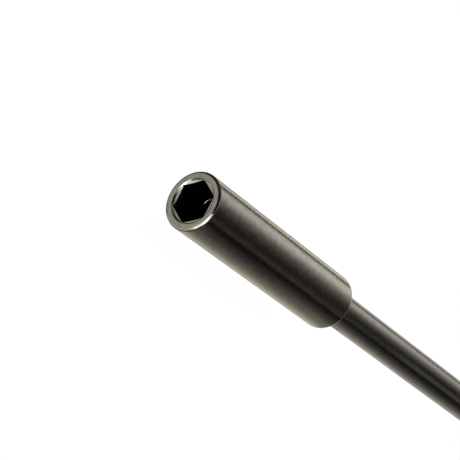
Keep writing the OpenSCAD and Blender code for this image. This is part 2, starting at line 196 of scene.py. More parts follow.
def stand_cards(name, strips, stops):
    """Upright and lying strips that give out light, cast no shadow, and are seen in reflections alone.

    Each strip has its two ends in X and its corners in Y and Z. Each stop has a sum of Y and Z and the light
    given out there. Between two stops the light goes straight from one value to the other."""
    verts, faces = [], []
    for back, front, bends in strips:
        first = len(verts)
        verts += [(x, y, z) for y, z in bends for x in (back, front)]
        faces += [(i, i + 1, i + 3, i + 2) for i in range(first, len(verts) - 2, 2)]
    mesh = bpy.data.meshes.new(name)
    mesh.from_pydata(verts, [], faces)
    card = bpy.data.materials.new(name)
    card.use_nodes = True
    tree = card.node_tree
    tree.nodes.clear()
    where = add_node(tree, "ShaderNodeTexCoord").outputs["Object"]
    spot = add_node(tree, "ShaderNodeSeparateXYZ", {0: where})
    reach = add_node(tree, "ShaderNodeMath", {0: spot.outputs["Y"], 1: spot.outputs["Z"]}, operation="ADD")
    tone = stops[0][1]
    for (start, low), (end, high) in zip(stops, stops[1:]):
        rise = add_node(tree, "ShaderNodeMapRange", {
            "Value": reach.outputs[0], "From Min": start, "From Max": end,
            "To Min": 0.0, "To Max": high - low})
        tone = add_node(tree, "ShaderNodeMath", {0: tone, 1: rise.outputs[0]}, operation="ADD").outputs[0]
    glow = add_node(tree, "ShaderNodeEmission", {"Color": linear("#fefcff"), "Strength": tone})
    add_node(tree, "ShaderNodeOutputMaterial", {"Surface": glow.outputs[0]})
    mesh.materials.append(card)
    made = bpy.data.objects.new(name, mesh)
    made.visible_camera = False
    made.visible_diffuse = False
    made.visible_shadow = False
    scene.collection.objects.link(made)


hang_lamp("overhead_box", place=(-0.1, 0.0, 1.3), aim=(-0.1, 0.0, 0.0), width=1.0, length=1.0,
          radiance=2.8, tint="#ffffff")
hang_lamp("mouth_panel", place=(0.065, 0.030, 0.0), aim=(0.0, 0.0, 0.0), width=0.055, length=0.018,
          radiance=6.0, tint="#e6efff")

# Where the cards stand, as corners in Y and Z: on both sides of the tool, over the shaft, and round the
# mouth. Those that lie flat are just clear of the paper. Those beside the tool dim towards it, so that
# its edges stay dark against the paper.
paper_top = cad_box[0].z + 0.3 * mm
beside = [(-0.004, paper_top), (0.03, paper_top), (0.03, 0.016)]
over_shaft = [(0.0217, 0.0125), (0.0125, 0.0217)]
below = [(-0.004, paper_top), (0.016, paper_top)]
behind = [(-0.25, paper_top), (-0.010, paper_top)]
raised_behind = [(-0.06, 0.0085), (-0.06, 0.024)]
before_ledge = [(-0.0035, paper_top), (0.0005, paper_top)]
before_chamfer = [(0.009, paper_top), (0.020, paper_top)]
behind_mouth = [(-0.045, paper_top), (-0.045, 0.02)]
for name, strips, stops in (
        ("shaded_card_mouth", [(-0.03, -0.006, below)],
         [(-0.0125, 0.55), (-0.007, 0.95), (-0.0045, 1.4), (0.0005, 1.2), (0.0068, 1.0)]),
        ("shaded_card_front", [(-0.054, -0.03, beside)],
         [(-0.0125, 0.55), (-0.007, 1.0), (-0.0045, 1.32), (0.041, 0.05)]),
        ("shaded_card_middle", [(-0.074, -0.054, beside)],
         [(-0.0125, 0.85), (-0.007, 1.35), (-0.0045, 1.75), (0.041, 0.07)]),
        ("shaded_card_back", [(-0.25, -0.074, beside)],
         [(-0.0125, 0.65), (-0.007, 1.1), (-0.0045, 1.55), (0.041, 0.09)]),
        ("strip_card_front", [(-0.09, -0.07, over_shaft)], [(0.0, 0.5)]),
        ("strip_card_back", [(-0.125, -0.09, over_shaft)], [(0.0, 1.3)]),
        ("bright_card_front", [(-0.08, -0.02, behind)],
         [(-0.109, 2.1), (-0.075, 1.5), (-0.055, 0.9), (-0.0395, 0.5), (-0.022, 0.3)]),
        ("bright_card_back", [(-0.25, -0.08, behind)],
         [(-0.2, 2.6), (-0.109, 1.9), (-0.06, 1.5), (-0.045, 1.1), (-0.022, 0.45)]),
        ("mouth_cards", [(0.0155, 0.025, before_ledge), (0.018, 0.045, before_chamfer)], [(0.0, 4.0)]),
        ("black_card_back", [(-0.25, -0.03, raised_behind)], [(0.0, 0.02)]),
        ("black_card_front", [(-0.01, 0.07, behind_mouth)], [(0.0, 0.3)])):
    stand_cards(name, strips, stops)


# The socket: a round barrel of black oxide steel, turned from bar, with the nut's hexagon broached into its
# mouth below a tapered lead-in. Its front edge is chamfered, and the shaft is brazed into its back.
def pair_up(distance, radius):
    """Pairs of distance behind the mouth and radius, from two values that are brought to the same shape."""
    return np.stack(np.broadcast_arrays(distance, radius), axis=-1)


def spread(corners, angles):
    """Corner rows for an outline: each corner's distance and radius, given at all of the angles."""
    return np.stack([pair_up(distance, radius + 0 * angles) for distance, radius in corners])


def round_corners(corners, cuts, steps=6):
    """Outline with rounded corners: each is a parabola from a cut before the corner to a cut after it.

    corners has one row for each corner, with the distance behind the mouth and the radius in its last axis.
    A cut is at most a set share of the shorter side, and one more row past each end, by a set margin, keeps
    flat faces flat in shading. Returns the rows, and how far each lies into its rounding, from 0 to 1."""
    most, margin = 0.35, 0.4
    before = np.roll(corners, 1, axis=0) - corners
    after = np.roll(corners, -1, axis=0) - corners
    room_before = np.linalg.norm(before, axis=-1, keepdims=True)
    room_after = np.linalg.norm(after, axis=-1, keepdims=True)
    t = np.linspace(0, 1, steps).reshape(-1, 1, 1)
    rows, edges = [], []
    for i, cut in enumerate(cuts):
        if cut == 0:
            rows.append(corners[i:i + 1])
            edges.append(np.zeros(1))
            continue
        reach = np.minimum(cut, most * np.minimum(room_before[i], room_after[i]))
        start = corners[i] + before[i] / room_before[i] * reach
        end = corners[i] + after[i] / room_after[i] * reach
        arc = (1 - t) ** 2 * start + 2 * t * (1 - t) * corners[i] + t ** 2 * end
        lead = start + margin * (start - corners[i])
        tail = end + margin * (end - corners[i])
        rows.append(np.concatenate([lead[None], arc, tail[None]]))
        edges.append(np.concatenate([[0], 4 * t.ravel() * (1 - t.ravel()), [0]]))
    return np.concatenate(rows), np.concatenate(edges)


def hexagon_wall(across_flats, angles):
    """Radius of a hexagon with a corner at angle 0: half its width over the cosine from a flat's middle."""
    sixth = np.pi / 3
    return across_flats / 2 / np.cos(np.mod(angles, sixth) - sixth / 2)


def turn_round(outline, angles):
    """Points of a turned surface: X is minus the distance, and the radius turns from +Z towards +Y."""
    distance, radius = np.broadcast_arrays(outline[..., 0], outline[..., 1] + 0 * angles)
    return np.stack([-distance, radius * np.sin(angles), radius * np.cos(angles)], axis=-1)


crease_angle = math.radians(32)


def lay_skin(name, points, closed, **marks):
    """A closed skin over a grid of points, in mm: rows follow the outline, and columns go round.

    A closed outline joins its last row to its first. Otherwise its end rows are poles on the axis.
    Faces are turned outwards by the sign of the volume that they enclose. Marks become point attributes."""
    rows, columns = points.shape[:2]
    here = np.arange(columns)
    there = np.roll(here, -1)
    if closed:
        verts = points.reshape(-1, 3)
        low = np.arange(rows)[:, None] * columns
        high = np.roll(low, -1)
        fans = []
    else:
        verts = np.concatenate([points[1:-1].reshape(-1, 3), points[:1, 0], points[-1:, 0]])
        low = np.arange(rows - 3)[:, None] * columns
        high = low + columns
        first, last = len(verts) - 2, len(verts) - 1
        top = (rows - 3) * columns
        fans = [np.stack([here, np.full(columns, first), there], axis=-1),
                np.stack([top + there, np.full(columns, last), top + here], axis=-1)]
    quads = np.stack([low + here, low + there, high + there, high + here], axis=-1).reshape(-1, 4)
    corner = verts[quads]
    volume = np.sum(corner[:, 0] * np.cross(corner[:, 1], corner[:, 2]))
    volume += np.sum(corner[:, 0] * np.cross(corner[:, 2], corner[:, 3]))
    faces = [q for part in [quads, *fans] for q in (part if volume > 0 else part[:, ::-1]).tolist()]
    mesh = bpy.data.meshes.new(name)
    mesh.from_pydata((verts * mm).tolist(), [], faces)
    mesh.polygons.foreach_set("use_smooth", np.ones(len(faces), dtype=bool))
    mesh.set_sharp_from_angle(angle=crease_angle)
    for mark, values in marks.items():
        grid = np.broadcast_to(values, (rows, columns)).astype(np.float32)
        flat = grid.ravel() if closed else np.concatenate([grid[1:-1].ravel(), grid[:1, 0], grid[-1:, 0]])
        mesh.attributes.new(mark, "FLOAT", "POINT").data.foreach_set("value", flat)
    made = bpy.data.objects.new(name, mesh)
    scene.collection.objects.link(made)
    return made


# Most of a noise texture lies between these two values.
noise_low, noise_high = 0.3, 0.7


def turned_metal(
        name, dark, light, worn, painted_shade_colour, sheen, mottle_mm, feed_mm, rings, grain_mm, rough, relief_mm):
    """Finish of a turned metal: patches between two colours, rings left by the tool's feed, fine grain.

    The rings follow the radius plus the distance along the axis, so they go round sides and end faces
    alike. The radius counts more, for finer rings on the faces, and rings is how strong they are. Rubbed
    edges show the worn colour, and grazing light the sheen. Where a piece's inside attribute is set, the
    colour goes towards a dark one as painted shade."""
    radius_share, mottle_share = 1.7, 0.5
    bare_from, bare_to = 0.5, 1.1
    finish = bpy.data.materials.new(name)
    finish.use_nodes = True
    tree = finish.node_tree
    shader = tree.nodes["Principled BSDF"]
    shader.inputs["Metallic"].default_value = 1.0
    shader.inputs["Specular Tint"].default_value = linear(sheen)
    where = add_node(tree, "ShaderNodeTexCoord").outputs["Object"]
    along = add_node(tree, "ShaderNodeSeparateXYZ", {0: where})
    across = add_node(tree, "ShaderNodeVectorMath", {
        0: where, 1: (0, radius_share, radius_share)}, operation="MULTIPLY")
    radius = add_node(tree, "ShaderNodeVectorMath", {0: across.outputs[0]}, operation="LENGTH")
    run = add_node(tree, "ShaderNodeMath", {
        0: radius.outputs["Value"], 1: along.outputs["X"]}, operation="SUBTRACT")
    feed = add_node(tree, "ShaderNodeTexNoise", {
        "W": run.outputs[0], "Scale": 1 / (feed_mm * mm), "Detail": 2.0}, noise_dimensions="1D")
    lathe = add_node(tree, "ShaderNodeMapRange", {
        "Value": feed.outputs["Fac"], "To Min": -rings / 2, "To Max": rings / 2})
    grain = add_node(tree, "ShaderNodeTexNoise", {
        "Vector": where, "Scale": 1 / (grain_mm * mm), "Detail": 2.0})
    mottle = add_node(tree, "ShaderNodeTexNoise", {
        "Vector": where, "Scale": 1 / (mottle_mm * mm), "Detail": 4.0})
    mixed = add_node(tree, "ShaderNodeMath", {
        0: lathe.outputs[0], 1: mottle.outputs["Fac"]}, operation="ADD")
    patch = add_node(tree, "ShaderNodeMapRange", {
        "Value": mixed.outputs[0], "From Min": noise_low, "From Max": noise_high})
    colour = add_node(tree, "ShaderNodeMix", {
        "Factor": patch.outputs[0], "A": linear(dark), "B": linear(light)}, data_type="RGBA")
    edge = add_node(tree, "ShaderNodeAttribute", attribute_name="edge")
    uneven = add_node(tree, "ShaderNodeMath", {
        0: mixed.outputs[0], 1: mottle_share, 2: edge.outputs["Fac"]}, operation="MULTIPLY_ADD")
    rubbed = add_node(tree, "ShaderNodeMapRange", {
        "Value": uneven.outputs[0], "From Min": bare_from, "From Max": bare_to})
    colour = add_node(tree, "ShaderNodeMix", {
        "Factor": rubbed.outputs[0], "A": colour.outputs["Result"], "B": linear(worn)}, data_type="RGBA")
    # Painted shade: the inside attribute mixes the colour towards the dark painted shade colour.
    inside = add_node(tree, "ShaderNodeAttribute", attribute_name="inside")
    colour = add_node(tree, "ShaderNodeMix", {
        "Factor": inside.outputs["Fac"], "A": colour.outputs["Result"],
        "B": linear(painted_shade_colour)}, data_type="RGBA")
    tree.links.new(colour.outputs["Result"], shader.inputs["Base Color"])
    satin = add_node(tree, "ShaderNodeMapRange", {
        "Value": grain.outputs["Fac"], "From Min": noise_low, "From Max": noise_high,
        "To Min": rough[0], "To Max": rough[1]})
    tree.links.new(satin.outputs[0], shader.inputs["Roughness"])
    relief = add_node(tree, "ShaderNodeMath", {
        0: lathe.outputs[0], 1: grain.outputs["Fac"]}, operation="ADD")
    bump = add_node(tree, "ShaderNodeBump", {
        "Height": relief.outputs[0], "Strength": 1.0, "Distance": relief_mm * mm})
    tree.links.new(bump.outputs[0], shader.inputs["Normal"])
    return finish


# From here on sizes are in mm. Names in _at, _front, _back and _end are distances behind the mouth.
socket_low, socket_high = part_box("socket")
socket_r = socket_high.z / mm
socket_len = -socket_low.x / mm
front_chamfer, front_chamfer_len, rear_round = 0.36, 0.17, 0.5
hex_af, hex_depth = 5.55, 5.2
lead_r, lead_depth = 3.334, 0.2
ledge_r, ledge_drop, least_ledge = 3.075, 0.1, 0.01
bolt_bore_r, bolt_bore_end = 2.7, 22.0
drill_half_angle = math.radians(59)
braze_r, braze_end = 2.7, 25.0

columns = 240
turn = np.linspace(0, 2 * np.pi, columns, endpoint=False)
hexagon = hexagon_wall(hex_af, turn)
ledge_edge = np.maximum(hexagon + least_ledge, ledge_r)
wall_fall = lead_depth / (lead_r - ledge_r)
ledge_fall = ledge_drop / (ledge_r - bolt_bore_r)
wall_foot = (lead_r - ledge_edge) * wall_fall
socket_corners = spread((
    (bolt_bore_end + bolt_bore_r / math.tan(drill_half_angle), 0.0),
    (bolt_bore_end, bolt_bore_r),
    (hex_depth, bolt_bore_r),
    (hex_depth, hexagon),
    (wall_foot + (ledge_edge - hexagon) * ledge_fall, hexagon),
    (wall_foot, ledge_edge),
    (0.0, lead_r),
    (0.0, socket_r - front_chamfer),
    (front_chamfer_len, socket_r),
    (socket_len, socket_r),
    (socket_len, braze_r),
    (braze_end, braze_r),
    (braze_end, 0.0)), turn)
socket_cuts = (0, 0.2, 0.1, 0.03, 0.05, 0.06, 0.08, 0.06, 0.12, rear_round, 0.05, 0.05, 0)
socket_outline, socket_edge = round_corners(socket_corners, socket_cuts)

# Wear by place, from 0 for the whole coat to 1 for bare steel. Nuts rub the lead-in and its ledge. The bare
# share round the chamfer, round the lead-in's wall and at one corner of the step at the hexagon's end is set
# by where the lamps' glints and the shade fall, so there it is part wear and part painted highlight and
# shade. The small margins below, in mm, tell the rows of one face from those of the next.
depth, reach = socket_outline[..., 0], socket_outline[..., 1]
glint_rub_middle, glint_rub_half, glint_rub_fade = np.radians([102, 68, 10])
step_glint_middle, step_glint_half = np.radians([253, 17])
painted_shade_at, painted_shade_run = 0.7, 1.5
# Painted highlight: the chamfer is bare only round the side where the mouth panel's glint and the paper's
# reflection fall, and keeps its coat elsewhere.
past_glint_rub = np.abs(np.mod(turn - glint_rub_middle + np.pi, 2 * np.pi) - np.pi)
chamfer_wear_and_glint = np.clip((glint_rub_half - past_glint_rub) / glint_rub_fade, 0, 1)
# Painted highlight and shade: the wall's bare share goes up where glints fall and down where shade falls, by
# angle round the mouth.
wall_angles = np.radians([0, 60, 100, 210, 225, 258, 270, 300, 325, 360])
wall_wear_light_and_shade = [0.8, 0.7, 0.25, 0.25, 0.9, 0.9, 0.35, 0.35, 0.8, 0.8]
wall_rub_light_and_shade = np.interp(turn, wall_angles, wall_wear_light_and_shade)
on_face = (depth < 0.02) & (reach > lead_r - 0.1)
on_ledge = (depth < 0.4) & (reach < ledge_edge + 0.02) & (reach > hexagon - 0.005)
on_wall = (depth < 0.3) & (reach < lead_r - 0.01) & ~on_ledge
on_chamfer = (depth < front_chamfer_len) & (reach < socket_r - 0.1)
on_chamfer &= reach > socket_r - front_chamfer + 0.02
at_corner = (depth < 0.4) & (reach >= socket_r - 0.1)
# Painted highlight: this bare patch of the step lies only where the mouth panel's glint falls.
on_step_glint = (np.abs(depth - hex_depth) < 0.2) & (reach < hexagon - 0.02) & (socket_edge[:, None] > 0)
on_step_glint &= np.abs(turn - step_glint_middle) < step_glint_half
wear_and_painted_light_by_place = (
    (at_corner, 0.0),
    (on_chamfer, 0.9 * chamfer_wear_and_glint),
    (on_face, 0.7),
    (on_ledge, 0.8),
    (on_wall, wall_rub_light_and_shade),
    (on_step_glint, 0.9))
socket_wear_and_painted_light = np.select(
    [place for place, _ in wear_and_painted_light_by_place],
    [wear + 0 * depth for _, wear in wear_and_painted_light_by_place],
    0.4 * socket_edge[:, None])
# Painted shade: the colour turns dark with depth inside the hexagon and the bore behind it, where shade
# falls, except on the step's bare corner.
hexagon_painted_shade = np.clip((depth - painted_shade_at) / painted_shade_run, 0, 1) * (reach < socket_r - 0.6) * ~on_step_glint
socket = lay_skin(
    "socket_barrel", turn_round(socket_outline, turn), False, edge=socket_wear_and_painted_light, inside=hexagon_painted_shade)

# Black oxide over a turned surface: a dark, warm grey conversion coat with a satin oil finish, and greenish
# steel where it is worn. The 0.08 mm feed and the 0.1 mm grain are drawn three times as coarse, to show.
socket_steel = turned_metal(
    "black_oxide_steel_turned", dark="#2f2b2a", light="#3d3a37", worn="#8e8d7f", painted_shade_colour="#161418",
    sheen="#fffdeb", mottle_mm=0.8, feed_mm=0.25, rings=0.25, grain_mm=0.3, rough=(0.15, 0.27),
    relief_mm=0.005)
socket.data.materials.append(socket_steel)
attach(socket, "driver")
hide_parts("socket")


# The shaft: a ground rod of the same black oxide steel, brazed into the socket and clamped in the handle,
# where it has a milled flat for the two screws.
shaft_low, shaft_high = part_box("shaft")
shaft_r = shaft_high.y / mm
shaft_front, shaft_end = -shaft_high.x / mm, -shaft_low.x / mm
shaft_chamfer = 0.5
flat_r, flat_at, flat_ramp = 2.2, 120.5, 0.02
painted_shade_from, painted_shade_to, painted_shade_share = 42.0, 72.0, 0.7
shaft_flat = np.minimum(shaft_r, flat_r / np.maximum(np.cos(turn), 0.5))
shaft_corners = spread((
    (shaft_front, 0.0),
    (shaft_front, shaft_r - shaft_chamfer),
    (shaft_front + shaft_chamfer, shaft_r),
    (painted_shade_from, shaft_r),
    (painted_shade_to, shaft_r),
    (flat_at, shaft_r),
    (flat_at + flat_ramp, shaft_flat),
    (shaft_end - shaft_chamfer, shaft_flat),
    (shaft_end, shaft_flat - shaft_chamfer),
    (shaft_end, 0.0)), turn)
shaft_outline, shaft_edge = round_corners(shaft_corners, (0, 0.05, 0.05, 0, 0, 0, 0, 0.05, 0.05, 0))
# Painted shade: a share of dark colour that grows along the shaft towards the handle.
shaft_painted_shade = painted_shade_share * np.clip((shaft_outline[..., 0] - painted_shade_from) / (painted_shade_to - painted_shade_from), 0, 1)
shaft = lay_skin(
    "shaft_rod", turn_round(shaft_outline, turn), False, edge=shaft_edge[:, None], inside=shaft_painted_shade)

# The same coat over a centreless ground rod, so its rings are weaker and shallower than the barrel's. Its
# colour goes darker towards the handle as painted shade, which dims its highlight there.
shaft_steel = turned_metal(
    "black_oxide_steel_ground", dark="#2f2e2a", light="#3c3b36", worn="#7a796c", painted_shade_colour="#161418",
    sheen="#e9e7dc", mottle_mm=0.8, feed_mm=0.3, rings=0.2, grain_mm=0.3, rough=(0.17, 0.25),
    relief_mm=0.004)
shaft.data.materials.append(shaft_steel)
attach(shaft, "driver")
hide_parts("shaft")

# The nose ferrule: a cone of gunmetal anodised aluminium, turned on a lathe and pressed over the handle's
# spigot, where the shaft goes in.
ferrule_low, ferrule_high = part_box("nose_ferrule")
nose_at, collar_at = -ferrule_high.x / mm, -ferrule_low.x / mm
ferrule_r = ferrule_high.z / mm
tip_r, tip_chamfer, ferrule_rim = 4.17, 0.25, 1.2
shaft_hole_r, spigot_hole_r, spigot_at = 2.67, 4.59, 108.0
ferrule_corners = np.array([
    (nose_at, shaft_hole_r),
    (nose_at, tip_r - tip_chamfer),
    (nose_at + tip_chamfer, tip_r),
    (collar_at - ferrule_rim, ferrule_r),
    (collar_at, ferrule_r),
    (collar_at, spigot_hole_r),
    (spigot_at, spigot_hole_r),
    (spigot_at, shaft_hole_r)])[:, None]
ferrule_outline, ferrule_edge = round_corners(ferrule_corners, (0.1, 0.1, 0.1, 0.2, 0.12, 0.1, 0.1, 0.1))
ferrule = lay_skin(
    "nose_ferrule_cone", turn_round(ferrule_outline, turn), True, edge=0.5 * ferrule_edge[:, None])

# Grey dyed oxide over fine turned aluminium: a satin metal with faint rings. The 0.1 mm feed is drawn four
# times as coarse, to show at all.
gunmetal = turned_metal(
    "gunmetal_anodised_aluminium", dark="#6a6b6e", light="#7b7c80", worn="#a9aaad", painted_shade_colour="#2c2c2e",
    sheen="#ffffff", mottle_mm=6.0, feed_mm=0.4, rings=0.9, grain_mm=0.5, rough=(0.28, 0.36),
    relief_mm=0.003)
ferrule.data.materials.append(gunmetal)
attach(ferrule, "driver")
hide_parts("nose_ferrule")


# The anti-roll collar: a hexagon ring of black nylon, moulded and pressed onto the handle's seat. One of
# its flats lies on the bench, and its corners are turned down.
def soft_min(a, b, blend):
    """The lesser of two sizes, with the crease between them rounded: a logarithm of summed exponentials."""
    return -blend * np.logaddexp(-a / blend, -b / blend)


def moulded(name, dark, light, worn, mottle_mm, grain_mm, rough, relief_mm):
    """Finish of a moulded plastic or rubber: soft patches between two colours and a fine cast grain.

    The grain raises the surface and its roughness together. Rubbed edges show the worn colour."""
    patch_low, patch_high = 0.35, 0.65
    finish = bpy.data.materials.new(name)
    finish.use_nodes = True
    tree = finish.node_tree
    shader = tree.nodes["Principled BSDF"]
    where = add_node(tree, "ShaderNodeTexCoord").outputs["Object"]
    grain = add_node(tree, "ShaderNodeTexNoise", {
        "Vector": where, "Scale": 1 / (grain_mm * mm), "Detail": 3.0})
    mottle = add_node(tree, "ShaderNodeTexNoise", {
        "Vector": where, "Scale": 1 / (mottle_mm * mm), "Detail": 4.0})
    patch = add_node(tree, "ShaderNodeMapRange", {
        "Value": mottle.outputs["Fac"], "From Min": patch_low, "From Max": patch_high})
    colour = add_node(tree, "ShaderNodeMix", {
        "Factor": patch.outputs[0], "A": linear(dark), "B": linear(light)}, data_type="RGBA")
    edge = add_node(tree, "ShaderNodeAttribute", attribute_name="edge")
    rubbed = add_node(tree, "ShaderNodeMath", {
        0: edge.outputs["Fac"], 1: grain.outputs["Fac"]}, operation="MULTIPLY")
    colour = add_node(tree, "ShaderNodeMix", {
        "Factor": rubbed.outputs[0], "A": colour.outputs["Result"], "B": linear(worn)}, data_type="RGBA")
    tree.links.new(colour.outputs["Result"], shader.inputs["Base Color"])
    matt = add_node(tree, "ShaderNodeMapRange", {
        "Value": grain.outputs["Fac"], "From Min": noise_low, "From Max": noise_high,
        "To Min": rough[0], "To Max": rough[1]})
    tree.links.new(matt.outputs[0], shader.inputs["Roughness"])
    bump = add_node(tree, "ShaderNodeBump", {
        "Height": grain.outputs["Fac"], "Strength": 1.0, "Distance": relief_mm * mm})
    tree.links.new(bump.outputs[0], shader.inputs["Normal"])
    return finish


collar_low, collar_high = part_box("anti_roll_collar")
waist_at = -collar_low.x / mm
collar_half = collar_high.z / mm
collar_corner_r = collar_high.y / mm
collar_chamfer, collar_bore_r = 0.8, 5.99
collar_w = waist_at - collar_at
collar_s = np.concatenate([
    np.linspace(0, collar_chamfer, 9),
    np.linspace(collar_chamfer, collar_w - collar_chamfer, 7)[1:-1],
    np.linspace(collar_w - collar_chamfer, collar_w, 9)])
turned_down = collar_corner_r - np.maximum(collar_chamfer - np.minimum(collar_s, collar_w - collar_s), 0)
collar_hexagon = hexagon_wall(2 * collar_half, turn + np.pi / 6)
collar_side = pair_up(
    collar_at + collar_s[:, None], soft_min(collar_hexagon, turned_down[:, None], blend=0.06))
collar_bore = spread(((waist_at, collar_bore_r), (collar_at, collar_bore_r)), turn)
collar_corners = np.concatenate([collar_side, collar_bore])
collar_cuts = (0.2, *np.zeros(len(collar_s) - 2), 0.2, 0.3, 0.3)
collar_outline, collar_edge = round_corners(collar_corners, collar_cuts)
collar = lay_skin("collar_hexagon", turn_round(collar_outline, turn), True, edge=0.4 * collar_edge[:, None])

# Glass filled nylon from an eroded mould: near black and low gloss, with a fine pebble. The 0.15 mm pebble
# is drawn three times as coarse, to show at all.
nylon = moulded("black_nylon_moulded", dark="#1d1d1e", light="#242425", worn="#3a3a3b",
                mottle_mm=5.0, grain_mm=0.45, rough=(0.42, 0.58), relief_mm=0.03)
collar.data.materials.append(nylon)
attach(collar, "driver")
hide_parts("anti_roll_collar")


# The handle's core: one turned aluminium piece with the spigot, the collar's seat, the waist, the grip's
# seat, the flange and the bearing's boss. It is bead blasted, anodised black and drilled for two screws.
def stand_up(outline, angles, place):
    """Points of an upright turned surface that stands on the tool's axis, that far behind the mouth."""
    height, radius = np.broadcast_arrays(outline[..., 0], outline[..., 1] + 0 * angles)
    return np.stack([radius * np.cos(angles) - place, radius * np.sin(angles), height], axis=-1)


body_low, body_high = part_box("handle_body")
flange_r = body_high.z / mm
boss_end = -body_low.x / mm
spigot_r, seat_r, core_r, waist_r, boss_r = 4.57, 5.97, 7.5, 6.5, 3.05
ring_at, flange_at, band_at, band_end, flange_end = 136.5, 188.5, 191.25, 195.25, 198.0
band_groove_r, flange_chamfer, small_chamfer = 8.3, 0.6, 0.25
shaft_hole_end, screw_hole_r, screw_hole_end = 135.5, 2.0, 193.92
grub_places, grub_hole_r = (124.0, 131.0), 2.02

waist_s = np.linspace(waist_at, ring_at, 45)
waist_mid, waist_half = (waist_at + ring_at) / 2, (ring_at - waist_at) / 2
waist_arc_r = (waist_half ** 2 + (core_r - waist_r) ** 2) / (2 * (core_r - waist_r))
waist_line = waist_r + waist_arc_r - np.sqrt(waist_arc_r ** 2 - (waist_s - waist_mid) ** 2)
body_corners = np.concatenate([
    [(shaft_hole_end, 0), (shaft_hole_end, shaft_hole_r), (spigot_at, shaft_hole_r),
     (spigot_at, spigot_r - small_chamfer), (spigot_at + small_chamfer, spigot_r), (collar_at, spigot_r),
     (collar_at, seat_r), (waist_at, seat_r)],
    np.stack([waist_s, waist_line], axis=-1),
    [(flange_at, core_r), (flange_at, flange_r - flange_chamfer), (flange_at + flange_chamfer, flange_r),
     (band_at, flange_r), (band_at, band_groove_r), (band_end, band_groove_r), (band_end, flange_r),
     (flange_end - flange_chamfer, flange_r), (flange_end, flange_r - flange_chamfer), (flange_end, boss_r),
     (boss_end, boss_r), (boss_end, screw_hole_r), (screw_hole_end, screw_hole_r),
     (screw_hole_end, 0)]])[:, None]
# One cut for each corner: the blind hole and the spigot, the waist, and the flange with the boss.
body_cuts = (0, *np.full(7, 0.05), 0.15, *np.zeros(len(waist_s) - 2), 0, 0.1, *np.full(12, 0.12), 0)
body_outline, body_edge = round_corners(body_corners, body_cuts)
body = lay_skin("handle_core", turn_round(body_outline, turn), False, edge=0.5 * body_edge[:, None])

drill_foot, sink_foot, drill_top = 1.0, 6.35, 7.6
countersink = np.array([
    (drill_foot, 0),
    (drill_foot, grub_hole_r),
    (sink_foot, grub_hole_r),
    (drill_top, grub_hole_r + drill_top - sink_foot),
    (drill_top, 0)])[:, None]
for place in grub_places:
    drill = lay_skin("drill", stand_up(countersink, turn[::4], place), False)
    cut = body.modifiers.new("screw_hole", "BOOLEAN")
    cut.operation = "DIFFERENCE"
    cut.solver = "EXACT"
    cut.object = drill
    drilled = bpy.data.meshes.new_from_object(body.evaluated_get(bpy.context.evaluated_depsgraph_get()))
    body.modifiers.clear()
    body.data = drilled
    bpy.data.objects.remove(drill)
drilled.name = "handle_core"
drilled.set_sharp_from_angle(angle=crease_angle)

# Black anodised over bead blasting: an even, fine, matt metal without rings. The 0.1 mm dimples are drawn
# four times as coarse, to show at all.
black_anodised = turned_metal(
    "black_anodised_aluminium", dark="#3a3b3d", light="#434447", worn="#77787a", painted_shade_colour="#1a1a1b",
    sheen="#ffffff", mottle_mm=8.0, feed_mm=5.0, rings=0.0, grain_mm=0.4, rough=(0.38, 0.48),
    relief_mm=0.006)
body.data.materials.clear()
body.data.materials.append(black_anodised)
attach(body, "driver")
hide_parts("handle_body")

# The clamping screws: two set screws of black oxide steel, screwed down through the waist onto the shaft's
# flat, with a key hexagon in their tops.
grub_low, grub_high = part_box("grub_screws")
grub_foot, grub_top = grub_low.z / mm, grub_high.z / mm
grub_r, grub_key_af, grub_key_depth, grub_key_chamfer, grub_key_cone = 2.0, 2.0, 1.6, 0.15, 0.2
grub_key = hexagon_wall(grub_key_af, turn)
grub_corners = spread((
    (grub_foot, 0.0),
    (grub_foot, grub_r - small_chamfer),
    (grub_foot + small_chamfer, grub_r),
    (grub_top - small_chamfer, grub_r),
    (grub_top, grub_r - small_chamfer),
    (grub_top, grub_key + grub_key_chamfer),
    (grub_top - grub_key_chamfer, grub_key),
    (grub_top - grub_key_depth, grub_key),
    (grub_top - grub_key_depth - grub_key_cone, 0.0)), turn)
grub_outline, grub_edge = round_corners(grub_corners, (0, 0.05, 0.05, 0.08, 0.08, 0.04, 0.04, 0.05, 0))

# Black oxide over cold formed steel: a dull, dark coat that the key leaves a little bright at the edges.
# The 0.1 mm marks are drawn three times as coarse, to show.
screw_steel = turned_metal(
    "black_oxide_screw_steel", dark="#3b3a38", light="#484745", worn="#85847e", painted_shade_colour="#161517",
    sheen="#fffdf2", mottle_mm=1.5, feed_mm=0.3, rings=0.5, grain_mm=0.3, rough=(0.3, 0.4),
    relief_mm=0.003)
for number, place in enumerate(grub_places, 1):
    grub = lay_skin(
        f"grub_screw_{number}", stand_up(grub_outline, turn, place), False, edge=grub_edge[:, None])
    grub.data.materials.append(screw_steel)
    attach(grub, "driver")
    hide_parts("grub_screws")

